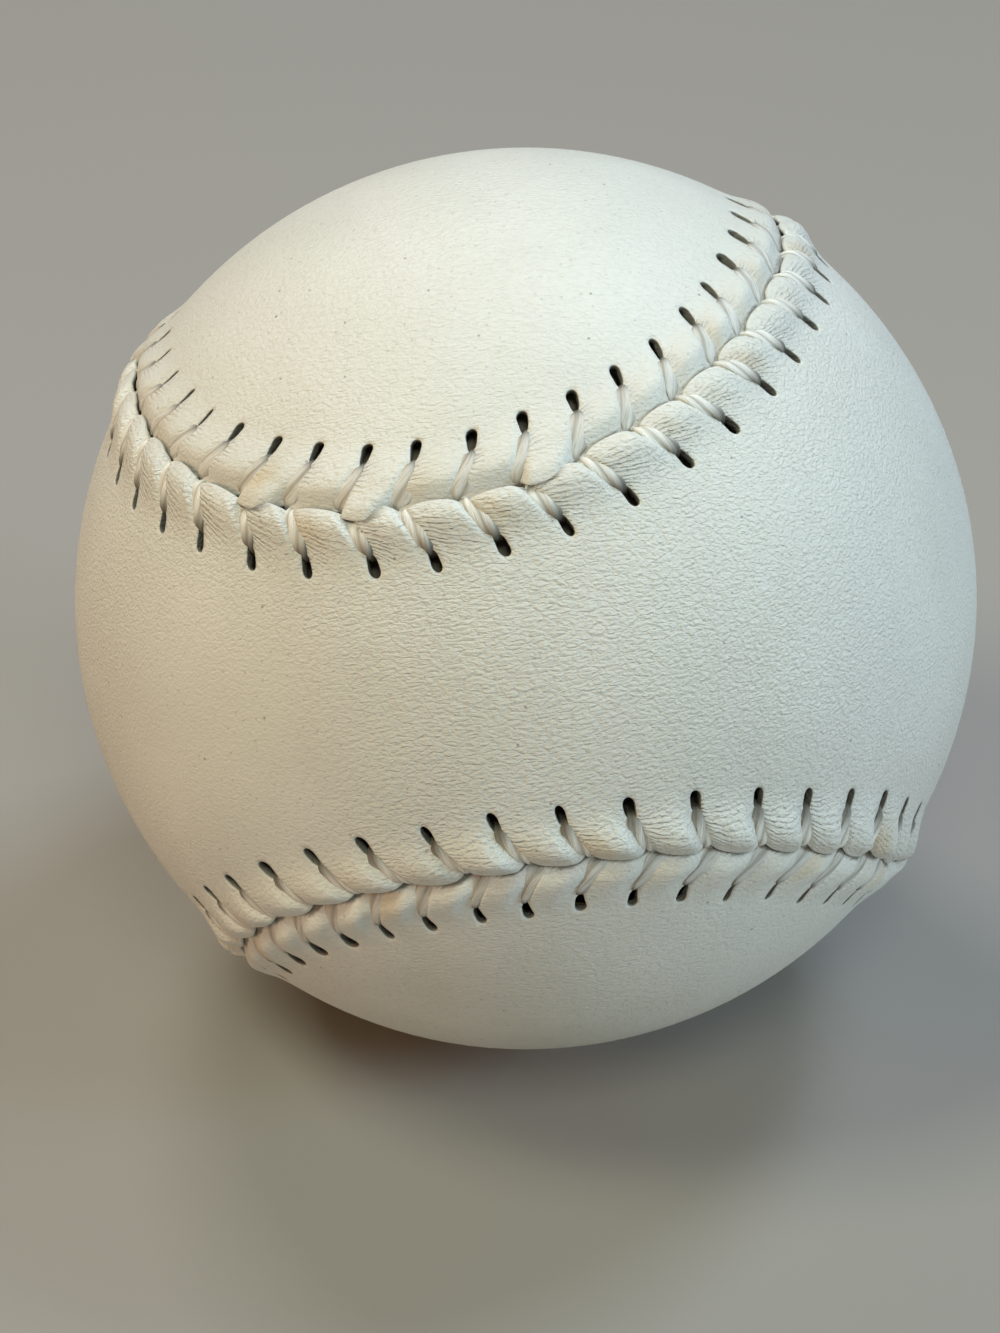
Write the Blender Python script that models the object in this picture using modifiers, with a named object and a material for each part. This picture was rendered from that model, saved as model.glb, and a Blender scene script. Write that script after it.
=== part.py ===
"""A twelve inch softball with a two-panel leather cover, sewn with one waxed thread.

The ball's own axes: the seam is a closed curve round the ball that repeats after a quarter turn with a
flip. Panel a has its waist at +Z, panel b at -Z. An empty at the centre turns the ball as it rests.
Distances along the ball are written as arc lengths on the plain outer surface, in metres.
"""

import math

import bmesh
import bpy
import numpy as np

# Driving dimensions, in metres and degrees
CIRCUMFERENCE = 0.3048
STITCHES = 88
LEATHER_THICKNESS = 0.0013
RESTING_ANGLES = (50.5, -52.5, 24.1)

# The seam: how far it swings off a great circle, and a small correction of its bends
SEAM_SWING = 0.3183
SEAM_BEND = -0.0136

# The stitched border of each panel, measured from the seam
LOBE_TIP = 0.0005
NOTCH_DEPTH = 0.0011
NOTCH_HALF_WIDTH = 0.0017
LOBE_LIFT = 0.0011
HOLE_NEAR = 0.0043
HOLE_FAR = 0.0063
HOLE_HALF_WIDTH = 0.00065
BORDER_END = 0.0085

# Where the holes start along the seam, in stitches: panel b's row drifts against panel a's
HOLE_PHASE_A = 0.04
HOLE_PHASE_B = 0.19
HOLE_DRIFT_B = 0.17
DRIFT_FROM = 10.0

# The plain middle of each panel
MIDLINE_HALF_ANGLE = 113.0
MIDLINE_EASE = 0.85
PLAIN_ROWS = 4

# The thread
THREAD_RADIUS = 0.0004
THREAD_OVER_LEATHER = 0.00055
THREAD_UNDER_LEATHER = 0.00195
DIVE_SHIFT = 0.0011
DIVE_TOP = 0.00045
DIVE_FOOT = 0.0002
TAIL_LENGTH = 0.0018

# Under the cover
CEMENT_START = 0.0078
CEMENT_COLUMNS = 44
CEMENT_ROWS = 4
CEMENT_TOP = 0.0018
CEMENT_THICKNESS = 0.0003
CORE_RADIUS = 0.0454

RADIUS = CIRCUMFERENCE / math.tau
HOLE_MIDDLE = (HOLE_NEAR + HOLE_FAR) / 2
BORDER_ROWS = (0.0, HOLE_NEAR, HOLE_FAR)
QUARTER = STITCHES / 4
SEAM_SAMPLES = 20001
WELD = 0.00001


def seam_direction(t):
    """Unit vectors from the centre to the seam: a circle with a third and a fifth harmonic, waving in z."""
    main = 1 - SEAM_SWING
    x = main * np.cos(t) + SEAM_SWING * np.cos(3 * t) + SEAM_BEND * np.cos(5 * t)
    y = main * np.sin(t) - SEAM_SWING * np.sin(3 * t) + SEAM_BEND * np.sin(5 * t)
    z = 2 * math.sqrt(main * SEAM_SWING) * np.sin(2 * t)
    return unit(np.stack([x, y, z], axis=-1))


def unit(vectors):
    return vectors / np.linalg.norm(vectors, axis=-1, keepdims=True)


SEAM_T = np.linspace(0, math.tau, SEAM_SAMPLES)
SEAM_RUN = np.concatenate(
    [[0], np.cumsum(np.linalg.norm(np.diff(seam_direction(SEAM_T), axis=0), axis=1))]
)
SEAM_LENGTH = SEAM_RUN[-1] * RADIUS
PITCH = SEAM_LENGTH / STITCHES


def on_ball(stitch, reach, height):
    """Points beside the seam: stitch counts along it, reach is the arc length from it, positive on
    panel a, and height is measured outwards from the plain leather."""
    stitch, reach, height = np.broadcast_arrays(stitch, reach, height)
    t = np.interp(np.mod(stitch, STITCHES) / STITCHES * SEAM_RUN[-1], SEAM_RUN, SEAM_T)
    step = 1e-5
    point = seam_direction(t)
    along = unit(seam_direction(t + step) - seam_direction(t - step))
    across = np.cross(point, along)
    angle = (reach / RADIUS)[..., None]
    return (np.cos(angle) * point + np.sin(angle) * across) * (RADIUS + height)[..., None]


def hole_stitch(side, number):
    """Where a panel's hole lies along the seam. Side is 1 for panel a and -1 for panel b."""
    if side > 0:
        return number + HOLE_PHASE_A
    wave = np.cos(math.tau * (number - DRIFT_FROM) / STITCHES)
    return number + HOLE_PHASE_B - HOLE_DRIFT_B * wave


def midline_direction(side, number):
    """The panel's middle line is an arc over its waist. Stitch numbers run along it, out and back."""
    there_and_back = np.arcsin(np.sin((number - side * QUARTER / 2) * math.pi / 2 / QUARTER))
    swing = np.sin(MIDLINE_EASE * there_and_back) / math.sin(MIDLINE_EASE * math.pi / 2)
    angle = math.radians(MIDLINE_HALF_ANGLE) * swing
    azimuth = math.radians(90 + 45 * side)
    flat = np.sin(angle)
    return np.stack([flat * math.cos(azimuth), flat * math.sin(azimuth), side * np.cos(angle)], axis=-1)


def plain_points(side, number, share, start, height):
    """Points on the panel's plain middle: share runs from 0, at the start's reach, to 1, on the midline."""
    rim = unit(on_ball(hole_stitch(side, number), side * start, 0.0))
    middle = midline_direction(side, number)
    return unit(rim + share[..., None] * (middle - rim)) * (RADIUS + height)


def lattice(columns, rows):
    """A flat grid as a bmesh, with each vertex's column and row as arrays."""
    mesh = bmesh.new()
    bmesh.ops.create_grid(mesh, x_segments=columns, y_segments=rows, size=1.0)
    flat = np.array([vertex.co[:2] for vertex in mesh.verts])
    counts = np.rint((flat + 1) / 2 * [columns, rows]).astype(int)
    return mesh, counts[:, 0], counts[:, 1]


def move_vertices(mesh, points):
    for vertex, point in zip(mesh.verts, points):
        vertex.co = point


def border_points(side, column, row):
    """The stitched border has three columns a stitch: both edges of the thread's valley, and the lobe's
    ridge. The valley slants from a notch, half a stitch on, back to its hole."""
    number, place = np.divmod(column, 3)
    ridge = place == 2
    reach = np.array(BORDER_ROWS)[row]
    half_width = np.where(row == 0, NOTCH_HALF_WIDTH, HOLE_HALF_WIDTH)
    offset = np.choose(place, [-half_width, half_width, np.full(len(column), PITCH / 2)])
    stitch = hole_stitch(side, number) + slant(reach) + offset / PITCH
    reach = np.where(row == 0, np.where(ridge, LOBE_TIP, NOTCH_DEPTH), reach)
    height = np.where((row == 0) & ridge, LOBE_LIFT, 0.0)
    return on_ball(stitch, side * reach, height)


def slant(reach):
    """How far along the seam, in stitches, the thread's valley lies from its hole."""
    return 0.5 * (1 - reach / HOLE_MIDDLE)


def leather_panel(name, side, colour):
    """One figure-eight panel: a pierced, scalloped border round a plain middle, where the columns close up
    by threes, given its thickness inwards."""
    rows = len(BORDER_ROWS) + PLAIN_ROWS
    mesh, column, row = lattice(3 * STITCHES, rows)
    in_border = row < len(BORDER_ROWS)
    border = border_points(side, column, np.where(in_border, row, 0))
    share = np.maximum(row - len(BORDER_ROWS), 0) / PLAIN_ROWS
    plain = plain_points(side, column // 3, share, BORDER_END, 0.0)
    move_vertices(mesh, np.where(in_border[:, None], border, plain))
    holes = []
    for face in mesh.faces:
        corners = [vertex.index for vertex in face.verts]
        if min(row[corners]) == 1 and min(column[corners]) % 3 == 0:
            holes.append(face)
    bmesh.ops.delete(mesh, geom=holes, context="FACES_ONLY")
    bmesh.ops.remove_doubles(mesh, verts=mesh.verts, dist=WELD)
    return shell(name, mesh, LEATHER_THICKNESS, colour, roughness=0.45)


def cement_film(name, side, colour):
    """The cement brushed on the back of a panel, kept clear of the holes."""
    mesh, column, row = lattice(CEMENT_COLUMNS, CEMENT_ROWS)
    number = column * STITCHES / CEMENT_COLUMNS
    share = row / CEMENT_ROWS
    move_vertices(mesh, plain_points(side, number, share, CEMENT_START, -CEMENT_TOP))
    bmesh.ops.remove_doubles(mesh, verts=mesh.verts, dist=WELD)
    return shell(name, mesh, CEMENT_THICKNESS, colour, roughness=0.6)


def shell(name, mesh, thickness, colour, roughness):
    """An open surface on the ball made into a wall of this thickness, inwards from it."""
    bmesh.ops.recalc_face_normals(mesh, faces=mesh.faces)
    face = next(iter(mesh.faces))
    if face.normal.dot(face.calc_center_median()) < 0:
        bmesh.ops.reverse_faces(mesh, faces=mesh.faces)
    data = bpy.data.meshes.new(name)
    mesh.to_mesh(data)
    mesh.free()
    data.shade_smooth()
    part = bpy.data.objects.new(name, data)
    wall = part.modifiers.new("wall", "SOLIDIFY")
    wall.thickness = thickness
    wall.offset = -1
    return finish(part, colour, roughness)


def finish(part, colour, roughness):
    """Puts a part in the ball's collection, on its centre, with its own material."""
    material = bpy.data.materials.new(part.name)
    material.use_nodes = True
    shader = material.node_tree.nodes["Principled BSDF"]
    shader.inputs["Base Color"].default_value = (*colour, 1)
    shader.inputs["Roughness"].default_value = roughness
    shader.inputs["Metallic"].default_value = 0.0
    part.data.materials.append(material)
    if part.name not in ball.objects:
        ball.objects.link(part)
    part.parent = centre
    return part


def needle_path(first_side):
    """One needle's way round the ball: up through a hole, over the leather into the seam, under the other
    panel, and up through its next hole."""
    points = []
    hole_end = HOLE_NEAR + HOLE_HALF_WIDTH
    for number in range(STITCHES):
        side = first_side if number % 2 == 0 else -first_side
        hole = hole_stitch(side, number)
        rise = hole + slant(hole_end)
        dive = hole + 0.5 - side * DIVE_SHIFT / PITCH
        points.append(on_ball(rise, side * hole_end, -THREAD_UNDER_LEATHER))
        points.append(on_ball(rise, side * hole_end, THREAD_OVER_LEATHER))
        points.append(on_ball(dive, side * DIVE_TOP, THREAD_OVER_LEATHER))
        points.append(on_ball(dive, side * DIVE_FOOT, -THREAD_UNDER_LEATHER))
    tail = on_ball(dive, -side * TAIL_LENGTH, -THREAD_UNDER_LEATHER)
    return points + [tail]


def sewing_thread(name, colour):
    """One length of thread with a needle at each end, started at its middle under the first two holes."""
    path = np.array(needle_path(1)[::-1] + needle_path(-1))
    curve = bpy.data.curves.new(name, "CURVE")
    curve.dimensions = "3D"
    curve.bevel_depth = THREAD_RADIUS
    curve.bevel_resolution = 0
    curve.use_fill_caps = True
    spline = curve.splines.new("POLY")
    spline.points.add(len(path) - 1)
    spline.points.foreach_set("co", np.column_stack([path, np.ones(len(path))]).ravel())
    print(f"least gap of the thread to itself: {thread_gap(path) * 1000:.2f} mm")
    return finish(bpy.data.objects.new(name, curve), colour, roughness=0.6)


def thread_gap(path):
    """The least clear distance between stretches of the thread that aren't neighbours, on close points."""
    steps = 9
    share = np.linspace(0, 1, steps, endpoint=False)[:, None]
    fine = (path[:-1, None] + share * (path[1:, None] - path[:-1, None])).reshape(-1, 3)
    stretch = np.repeat(np.arange(len(path) - 1), steps)
    least = np.inf
    for number in range(len(path) - 1):
        here = fine[stretch == number]
        others = fine[stretch > number + 2]
        if len(others):
            gaps = np.linalg.norm(here[:, None] - others[None], axis=2)
            least = min(least, gaps.min())
    return least - 2 * THREAD_RADIUS


for old in list(bpy.data.objects):
    bpy.data.objects.remove(old)

ball = bpy.data.collections.new("softball")
bpy.context.scene.collection.children.link(ball)
centre = bpy.data.objects.new("ball_centre", None)
centre.rotation_euler = [math.radians(angle) for angle in RESTING_ANGLES]
ball.objects.link(centre)

bpy.ops.mesh.primitive_ico_sphere_add(subdivisions=4, radius=CORE_RADIUS)
core = bpy.context.object
core.name = "core"
core.data.shade_smooth()
for collection in list(core.users_collection):
    collection.objects.unlink(core)
finish(core, (0.055, 0.050, 0.042), roughness=0.7)

cement_film("cement_film_a", 1, (0.62, 0.52, 0.33))
cement_film("cement_film_b", -1, (0.62, 0.52, 0.33))
leather_panel("cover_panel_a", 1, (0.82, 0.79, 0.72))
leather_panel("cover_panel_b", -1, (0.82, 0.79, 0.72))
sewing_thread("seam_thread", (0.78, 0.74, 0.62))
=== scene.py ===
import math

import bpy
import numpy as np
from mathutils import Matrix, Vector


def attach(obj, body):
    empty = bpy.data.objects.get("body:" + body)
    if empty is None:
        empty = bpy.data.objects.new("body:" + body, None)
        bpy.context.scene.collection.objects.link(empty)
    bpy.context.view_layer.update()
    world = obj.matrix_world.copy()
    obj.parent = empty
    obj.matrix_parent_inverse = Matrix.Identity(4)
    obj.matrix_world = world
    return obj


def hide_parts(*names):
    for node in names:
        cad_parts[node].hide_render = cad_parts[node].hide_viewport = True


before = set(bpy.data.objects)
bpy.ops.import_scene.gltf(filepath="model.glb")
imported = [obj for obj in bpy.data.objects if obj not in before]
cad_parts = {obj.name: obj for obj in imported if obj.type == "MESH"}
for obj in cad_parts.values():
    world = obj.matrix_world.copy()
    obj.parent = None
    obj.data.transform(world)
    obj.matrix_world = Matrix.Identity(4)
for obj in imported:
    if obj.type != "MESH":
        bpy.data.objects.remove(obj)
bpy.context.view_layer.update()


# The core
# The middle of the ball is one moulding of polyurethane foam with a matt grey-brown skin. The cover hides
# it, so it shows only as the dark ground at the bottom of the stitch holes.
MM = 0.001


def linear(hex_colour):
    """An sRGB hex colour as linear red, green and blue, with alpha 1."""
    srgb = np.array([int(hex_colour[i : i + 2], 16) for i in (1, 3, 5)]) / 255
    rgb = np.where(srgb <= 0.04045, srgb / 12.92, ((srgb + 0.055) / 1.055) ** 2.4)
    return (*rgb.tolist(), 1.0)


def add(tree, kind, values=None, links=None, **settings):
    """Adds a node: settings are its properties, values its sockets' numbers and links the outputs that feed
    its sockets."""
    made = tree.nodes.new(kind)
    for name, value in settings.items():
        setattr(made, name, value)
    for socket, value in (values or {}).items():
        made.inputs[socket].default_value = value
    for socket, source in (links or {}).items():
        tree.links.new(source, made.inputs[socket])
    return made


def new_material(name):
    """A material with an empty tree, and that tree."""
    material = bpy.data.materials.new(name)
    material.use_nodes = True
    material.node_tree.nodes.clear()
    return material, material.node_tree


def surface(tree, roughness, ior, colour, normal):
    """Ends a tree in a surface of one roughness and refractive index, fed with a colour and a normal."""
    shader = add(
        tree,
        "ShaderNodeBsdfPrincipled",
        {"Roughness": roughness, "IOR": ior},
        {"Base Color": colour, "Normal": normal},
    )
    add(tree, "ShaderNodeOutputMaterial", links={"Surface": shader.outputs["BSDF"]})


def moulded_foam():
    """Polyurethane foam skin: matt, mottled in patches of about 6 mm, with pin holes 0.5 mm across."""
    material, tree = new_material("moulded_polyurethane")
    place = add(tree, "ShaderNodeTexCoord").outputs["Object"]
    mottle = add(tree, "ShaderNodeTexNoise", {"Scale": 1 / (6 * MM), "Detail": 4}, {"Vector": place})
    colour = add(tree, "ShaderNodeValToRGB", links={"Fac": mottle.outputs["Fac"]})
    colour.color_ramp.elements[0].color = linear("#978E7C")
    colour.color_ramp.elements[1].color = linear("#B0A693")
    pits = add(tree, "ShaderNodeTexVoronoi", {"Scale": 1 / (0.5 * MM)}, {"Vector": place})
    bump = add(
        tree,
        "ShaderNodeBump",
        {"Strength": 0.6, "Distance": 0.05 * MM},
        {"Height": pits.outputs["Distance"]},
    )
    surface(tree, roughness=0.8, ior=1.5, colour=colour.outputs["Color"], normal=bump.outputs["Normal"])
    return material


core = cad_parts["core"]
core.data.materials.clear()
core.data.materials.append(moulded_foam())


# The cement films
# Rubber cement is brushed on the back of each panel before it is laid on the core, and dries to a tan film
# with brush marks. It stops short of the holes, so only its edge could be seen through them.
def dried_cement():
    """Rubber cement: tan, with brush streaks about 2 mm apart and a dull shine."""
    material, tree = new_material("dried_rubber_cement")
    place = add(tree, "ShaderNodeTexCoord").outputs["Object"]
    stretch = add(tree, "ShaderNodeMapping", {"Scale": (1.0, 1.0, 0.15)}, {"Vector": place})
    streak = add(
        tree,
        "ShaderNodeTexNoise",
        {"Scale": 1 / (2 * MM), "Detail": 3},
        {"Vector": stretch.outputs["Vector"]},
    )
    colour = add(tree, "ShaderNodeValToRGB", links={"Fac": streak.outputs["Fac"]})
    colour.color_ramp.elements[0].color = linear("#8E7A55")
    colour.color_ramp.elements[1].color = linear("#A8946C")
    bump = add(
        tree,
        "ShaderNodeBump",
        {"Strength": 0.5, "Distance": 0.05 * MM},
        {"Height": streak.outputs["Fac"]},
    )
    surface(tree, roughness=0.55, ior=1.52, colour=colour.outputs["Color"], normal=bump.outputs["Normal"])
    return material


cement = dried_cement()
for film in ("cement_film_a", "cement_film_b"):
    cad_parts[film].data.materials.clear()
    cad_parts[film].data.materials.append(cement)


# The two cover panels
# Each is a figure-eight of white chrome-tanned leather, 1.3 mm thick, punched with 88 holes along its edge.
# Sewing pulls the edges together into plump lobes: panel a's lie on top, panel b's are tucked under them.

# Lengths here are in mm. A panel is known by its side of the seam, which gives the sign of what lies there.
PANEL_A = 1
PANEL_B = -1
GIRTH = 304.8
RADIUS = GIRTH / math.tau
STITCHES = 88

# The seam's curve, how the ball lies, and the curve's parameter with a small step of it
SEAM_SWING = 0.3183
SEAM_BEND = -0.0136
RESTING_ANGLES = np.radians([50.5, -52.5, 24.1])
SEAM_T = np.linspace(0, math.tau, 20001)
SMALL_STEP = 1e-5


def unit(vectors):
    """Vectors divided by their own length."""
    return vectors / np.linalg.norm(vectors, axis=-1, keepdims=True)


def ease(low, high, x):
    """Rises smoothly from 0 at low to 1 at high: three times the square less twice the cube."""
    share = np.clip((x - low) / (high - low), 0, 1)
    return share * share * (3 - 2 * share)


def bell(x, middle, spread):
    """One at the middle, falling off on both sides: e to the minus square of the distance in spreads."""
    return np.exp(-(((x - middle) / spread) ** 2))


def resting(points):
    """Turns points from the ball's own axes to how it lies: about x, then y, then z."""
    turn = np.eye(3)
    for axis, angle in enumerate(RESTING_ANGLES):
        one, other = [(1, 2), (2, 0), (0, 1)][axis]
        step = np.eye(3)
        step[one, one] = step[other, other] = math.cos(angle)
        step[other, one] = math.sin(angle)
        step[one, other] = -math.sin(angle)
        turn = step @ turn
    return points @ turn.T


def seam_direction(t):
    """Unit vectors to the seam: a circle with a third and a fifth harmonic, waving twice in z."""
    main = 1 - SEAM_SWING
    x = main * np.cos(t) + SEAM_SWING * np.cos(3 * t) + SEAM_BEND * np.cos(5 * t)
    y = main * np.sin(t) - SEAM_SWING * np.sin(3 * t) + SEAM_BEND * np.sin(5 * t)
    z = 2 * math.sqrt(main * SEAM_SWING) * np.sin(2 * t)
    return unit(np.stack([x, y, z], axis=-1))


SEAM_RUN = np.append(0, np.cumsum(np.linalg.norm(np.diff(seam_direction(SEAM_T), axis=0), axis=1)))
PITCH = SEAM_RUN[-1] * RADIUS / STITCHES


def beside_seam(stitch, reach, height):
    """Points: stitch counts along the seam, reach is the arc from it, positive on panel a, and height stands
    out from the plain leather. The arc turns from the seam's direction towards its side vector."""
    stitch, reach, height = np.broadcast_arrays(stitch, reach, height)
    t = np.interp(np.mod(stitch, STITCHES) / STITCHES * SEAM_RUN[-1], SEAM_RUN, SEAM_T)
    point = seam_direction(t)
    along = unit(seam_direction(t + SMALL_STEP) - seam_direction(t - SMALL_STEP))
    angle = (reach / RADIUS)[..., None]
    return (np.cos(angle) * point + np.sin(angle) * np.cross(point, along)) * (RADIUS + height)[..., None]


# The holes are slots, a little narrower towards the seam. ROUND_END is the share of a half that is round.
HOLE_REACH = 5.35
HOLE_HALF_LENGTH = 1.3
HOLE_HALF_WIDTH = {PANEL_A: 0.56, PANEL_B: 0.74}
HOLE_TAPER = {PANEL_A: 0.1, PANEL_B: 0.22}
ROUND_END = 0.7

# How the sewing wanders on the side that the photograph shows: stitch, the seam's shift towards panel a,
# the lean of panel b's holes in stitches for each mm, then for panel a and for panel b how far holes stray
# along the seam in stitches and away from it
STRAYS = np.array(
    [
        (0, -0.2, -0.05, 0.07, -0.1, -0.15, 0.1),
        (3, -0.45, -0.05, 0.05, -0.1, 0.02, -0.5),
        (6, -0.3, -0.05, 0.06, -0.15, 0.06, -0.6),
        (9, 0.35, 0, 0.0, -0.1, 0.04, 0.0),
        (12, 0.3, 0, -0.13, 0.1, 0.0, 0.35),
        (15, -0.55, 0, -0.19, 0.2, -0.04, 0.35),
        (18, -0.8, 0, -0.25, 0.5, -0.07, 0.1),
        (23, 0, 0, 0, 0, 0, 0),
        (43, 0, 0, 0, 0, 0, 0),
        (48, 0.85, 0, 0.08, 0.3, 0.2, -0.4),
        (51, 0.4, 0.03, 0.12, -0.1, 0.14, -0.2),
        (54, -0.3, 0.05, 0.07, -0.45, 0.03, -0.1),
        (57, -0.1, 0.05, 0.03, -0.15, -0.02, 0.3),
        (60, 0.6, 0.05, 0.0, 0.2, -0.03, 0.4),
        (62, 0.9, 0.05, -0.1, 0.5, -0.14, 0.5),
        (67, 0, 0, 0, 0, 0, 0),
        (84, 0, 0, 0, 0, 0, 0),
    ]
)
sewing = np.random.default_rng(12)
wander, tilt, *strays = [
    np.interp(np.arange(STITCHES), STRAYS[:, 0], column, period=STITCHES) for column in STRAYS.T[1:]
]

# What each stitch is like: its hole's stray, its lobe's plumpness, tip, stain and creases, and half its
# hole's width in stitches
hand = {}
for side, (along, across) in ((PANEL_A, strays[:2]), (PANEL_B, strays[2:])):
    hand[side] = {
        "along": along + sewing.normal(0, 0.03, STITCHES),
        "across": across + sewing.normal(0, 0.15, STITCHES),
        "plump": sewing.normal(1, 0.1, STITCHES),
        "tip": sewing.normal(0, 0.17, STITCHES),
        "stain": 0.6 * sewing.uniform(0, 1, STITCHES) ** 3,
        "crease": sewing.uniform(0.6, 1.1, STITCHES),
        "hole": HOLE_HALF_WIDTH[side] / PITCH * sewing.uniform(0.9, 1.15, STITCHES),
    }

# Here and there panel b's edge has come out over a notch of panel a, whose tips are then shorter, as they
# are along the first five stitches. On the side that shows, none has come out by chance.
SHORT_TIP = 0.3
on_top = sewing.uniform(0, 1, STITCHES) < 0.07
on_top[0:19] = on_top[48:63] = False
on_top[[8, 11, 13]] = True
hand[PANEL_A]["tip"] -= SHORT_TIP * (np.roll(on_top, 1) | on_top)
hand[PANEL_A]["tip"][0:5] -= SHORT_TIP

# Stretches where lobes are flatter or plumper, creases fewer, or holes stretched or closed up
for side, what, first, past, times in (
    (PANEL_A, "plump", 0, 7, 0.7),
    (PANEL_A, "plump", 44, 54, 0.8),
    (PANEL_A, "crease", 44, 54, 0.4),
    (PANEL_A, "hole", 44, 52, 1.45),
    (PANEL_B, "plump", 44, 52, 1.1),
    (PANEL_B, "hole", 0, 4, 1.25),
    (PANEL_B, "hole", 16, 20, 0.5),
    (PANEL_B, "hole", 44, 52, 1.45),
    (PANEL_B, "hole", 59, 66, 0.6),
):
    hand[side][what][first:past] *= times


def by_hand(values, place):
    """A sewer's unevenness, which runs evenly from each stitch's own value to the next one's."""
    return np.interp(place, np.arange(STITCHES), values, period=STITCHES)


# How far the leather leans along the seam in stitches, with its slopes at the seam and at the hole, and how
# far the lean goes on past both, as a share of the way between them
LEAN = {PANEL_A: (0.42, -1.3, -0.35), PANEL_B: (0.42, -0.8, -0.4)}
LEAN_PAST_SEAM = 0.3
LEAN_PAST_HOLE = 0.45


def lean(side, reach):
    """How far the leather is drawn along the seam, in stitches: a cubic with given slopes at the seam and at
    the hole, and a straight stretch past the hole."""
    whole, at_seam, at_hole = LEAN[side]
    x = np.clip(reach / HOLE_REACH, -LEAN_PAST_SEAM, 1)
    past = np.clip(reach / HOLE_REACH - 1, 0, LEAN_PAST_HOLE)
    cubic = (2 * x**3 - 3 * x**2 + 1) + (x**3 - 2 * x**2 + x) * at_seam + (x**3 - x**2) * at_hole
    return whole * (cubic + past * at_hole)


# The holes' drift along the seam in stitches: its mean, its swing, and the stitch where it is least. A
# hole's stray fades with the distance from it, and the seam's wander between two distances from the seam.
DRIFT = {PANEL_A: (0.04, 0.0), PANEL_B: (0.19, 0.17)}
LEAST_DRIFT = 10
NEAR_HOLE = 2.2
WANDER_ENDS = 30
WANDER_FADES = 8


def sewn_point(side, place, reach, height):
    """Points on a panel: place counts its own stitches. Panel b's holes drift against panel a's along a
    cosine, and the leather leans about half a stitch on between hole and seam."""
    mean, swing = DRIFT[side]
    drift = mean - swing * np.cos(math.tau * (place - LEAST_DRIFT) / STITCHES)
    near_hole = bell(reach, HOLE_REACH, NEAR_HOLE)
    stitch = place + drift + lean(side, reach) + by_hand(hand[side]["along"], place)
    if side == PANEL_B:
        stitch = stitch + by_hand(tilt, place) * (reach - HOLE_REACH) * near_hole
    shifted = side * (reach + near_hole * by_hand(hand[side]["across"], place))
    wandered = by_hand(wander, stitch) * ease(WANDER_ENDS, WANDER_FADES, reach)
    return beside_seam(stitch, shifted + wandered, height)


# The thread was pulled forwards on one half of the seam and backwards on the other, so the lobes lean and
# swell differently there. Where a size is given as a pair, it holds for those two halves in turn.
FORWARD_MIDDLE = 9


def on_lobe(place):
    """Which lobe a place is on, its share of the lobe from the steep end, and which way the thread was
    pulled: 1 forwards, on the half of the seam round FORWARD_MIDDLE, and -1 backwards."""
    lobe = np.floor(place).astype(int) % STITCHES
    way = np.where(np.cos(math.tau * (lobe - FORWARD_MIDDLE) / STITCHES) > 0, 1, -1)
    share = np.mod(place, 1)
    return lobe, np.where(way > 0, share, 1 - share), way


def by_half(way, pair):
    """The first of a pair where the thread was pulled forwards, and the second where it was pulled back."""
    return np.where(way > 0, *pair)


# The shares of a lobe over which a lip comes out and goes back
LIP_RISE = (0.0, 0.45)
LIP_FALL = (0.82, 1.0)


def lip_over_notch(place):
    """Where panel b's edge lies over panel a: most of the lobe, easing off at both ends."""
    lobe = np.floor(place).astype(int) % STITCHES
    share = np.mod(place, 1)
    return on_top[lobe] * ease(*LIP_RISE, share) * (1 - ease(*LIP_FALL, share))


# The notches' place after the thread in stitches, and the skew and power of the outline between them
NOTCH_SHIFT = 0.02
TIP_SKEW = (0.95, 0.9)
TIP_POWER = (0.6, 0.8)


def tip_scale(place):
    """The outline of a lobe's end, 0 at the two notches and 1 between them: a power of a parabola."""
    _, _, way = on_lobe(place - NOTCH_SHIFT)
    share = np.mod(place - NOTCH_SHIFT, 1) ** by_half(way, TIP_SKEW)
    return (4 * share * (1 - share)) ** by_half(way, TIP_POWER)


# Where the leather ends: the notches' distance from the seam, the scales' length, and a lip's further reach
NOTCH_REACH = {PANEL_A: 0.7, PANEL_B: 0.35}
SCALE_LENGTH = {PANEL_A: 1.2, PANEL_B: 0.9}
LIP_REACH = 0.45


def lobe_tip(side, place):
    """Where the leather ends: a rounded scale between two notches, reaching past the seam."""
    if side == PANEL_A:
        lobe = np.floor(place - NOTCH_SHIFT).astype(int) % STITCHES
        return NOTCH_REACH[side] - tip_scale(place) * (SCALE_LENGTH[side] + hand[side]["tip"][lobe])
    return NOTCH_REACH[side] - SCALE_LENGTH[side] * tip_scale(place) - LIP_REACH * lip_over_notch(place)


# Creases: how far they slant for each mm from the thread and bow with the tip, where they fan out from and
# how fast, their middle and spread across the border, and how strong they are
CREASE_SLANT = {PANEL_A: (0.34, -0.1), PANEL_B: (-0.12, 0.32)}
CREASE_BOW = (0.0, 0.9)
CREASE_FAN_REACH = 2.2
CREASE_FAN = 0.18
CREASE_LONGEST = 0.75
CREASE_MIDDLE = {PANEL_A: (2.8, 3.2), PANEL_B: (3.3, 3.3)}
CREASE_SPREAD = {PANEL_A: (2.2, 2.9), PANEL_B: (1.6, 1.6)}
CREASE_STRENGTH = {PANEL_A: (1.0, 0.74), PANEL_B: (1.0, 0.2593)}
CREASE_ALL_OVER = (0.1, 0.45)
CREASE_RISE = (0.2, 0.75)
CREASE_FALL = (0.95, 1.0)
SHORT_CREASE = 1.7


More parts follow.
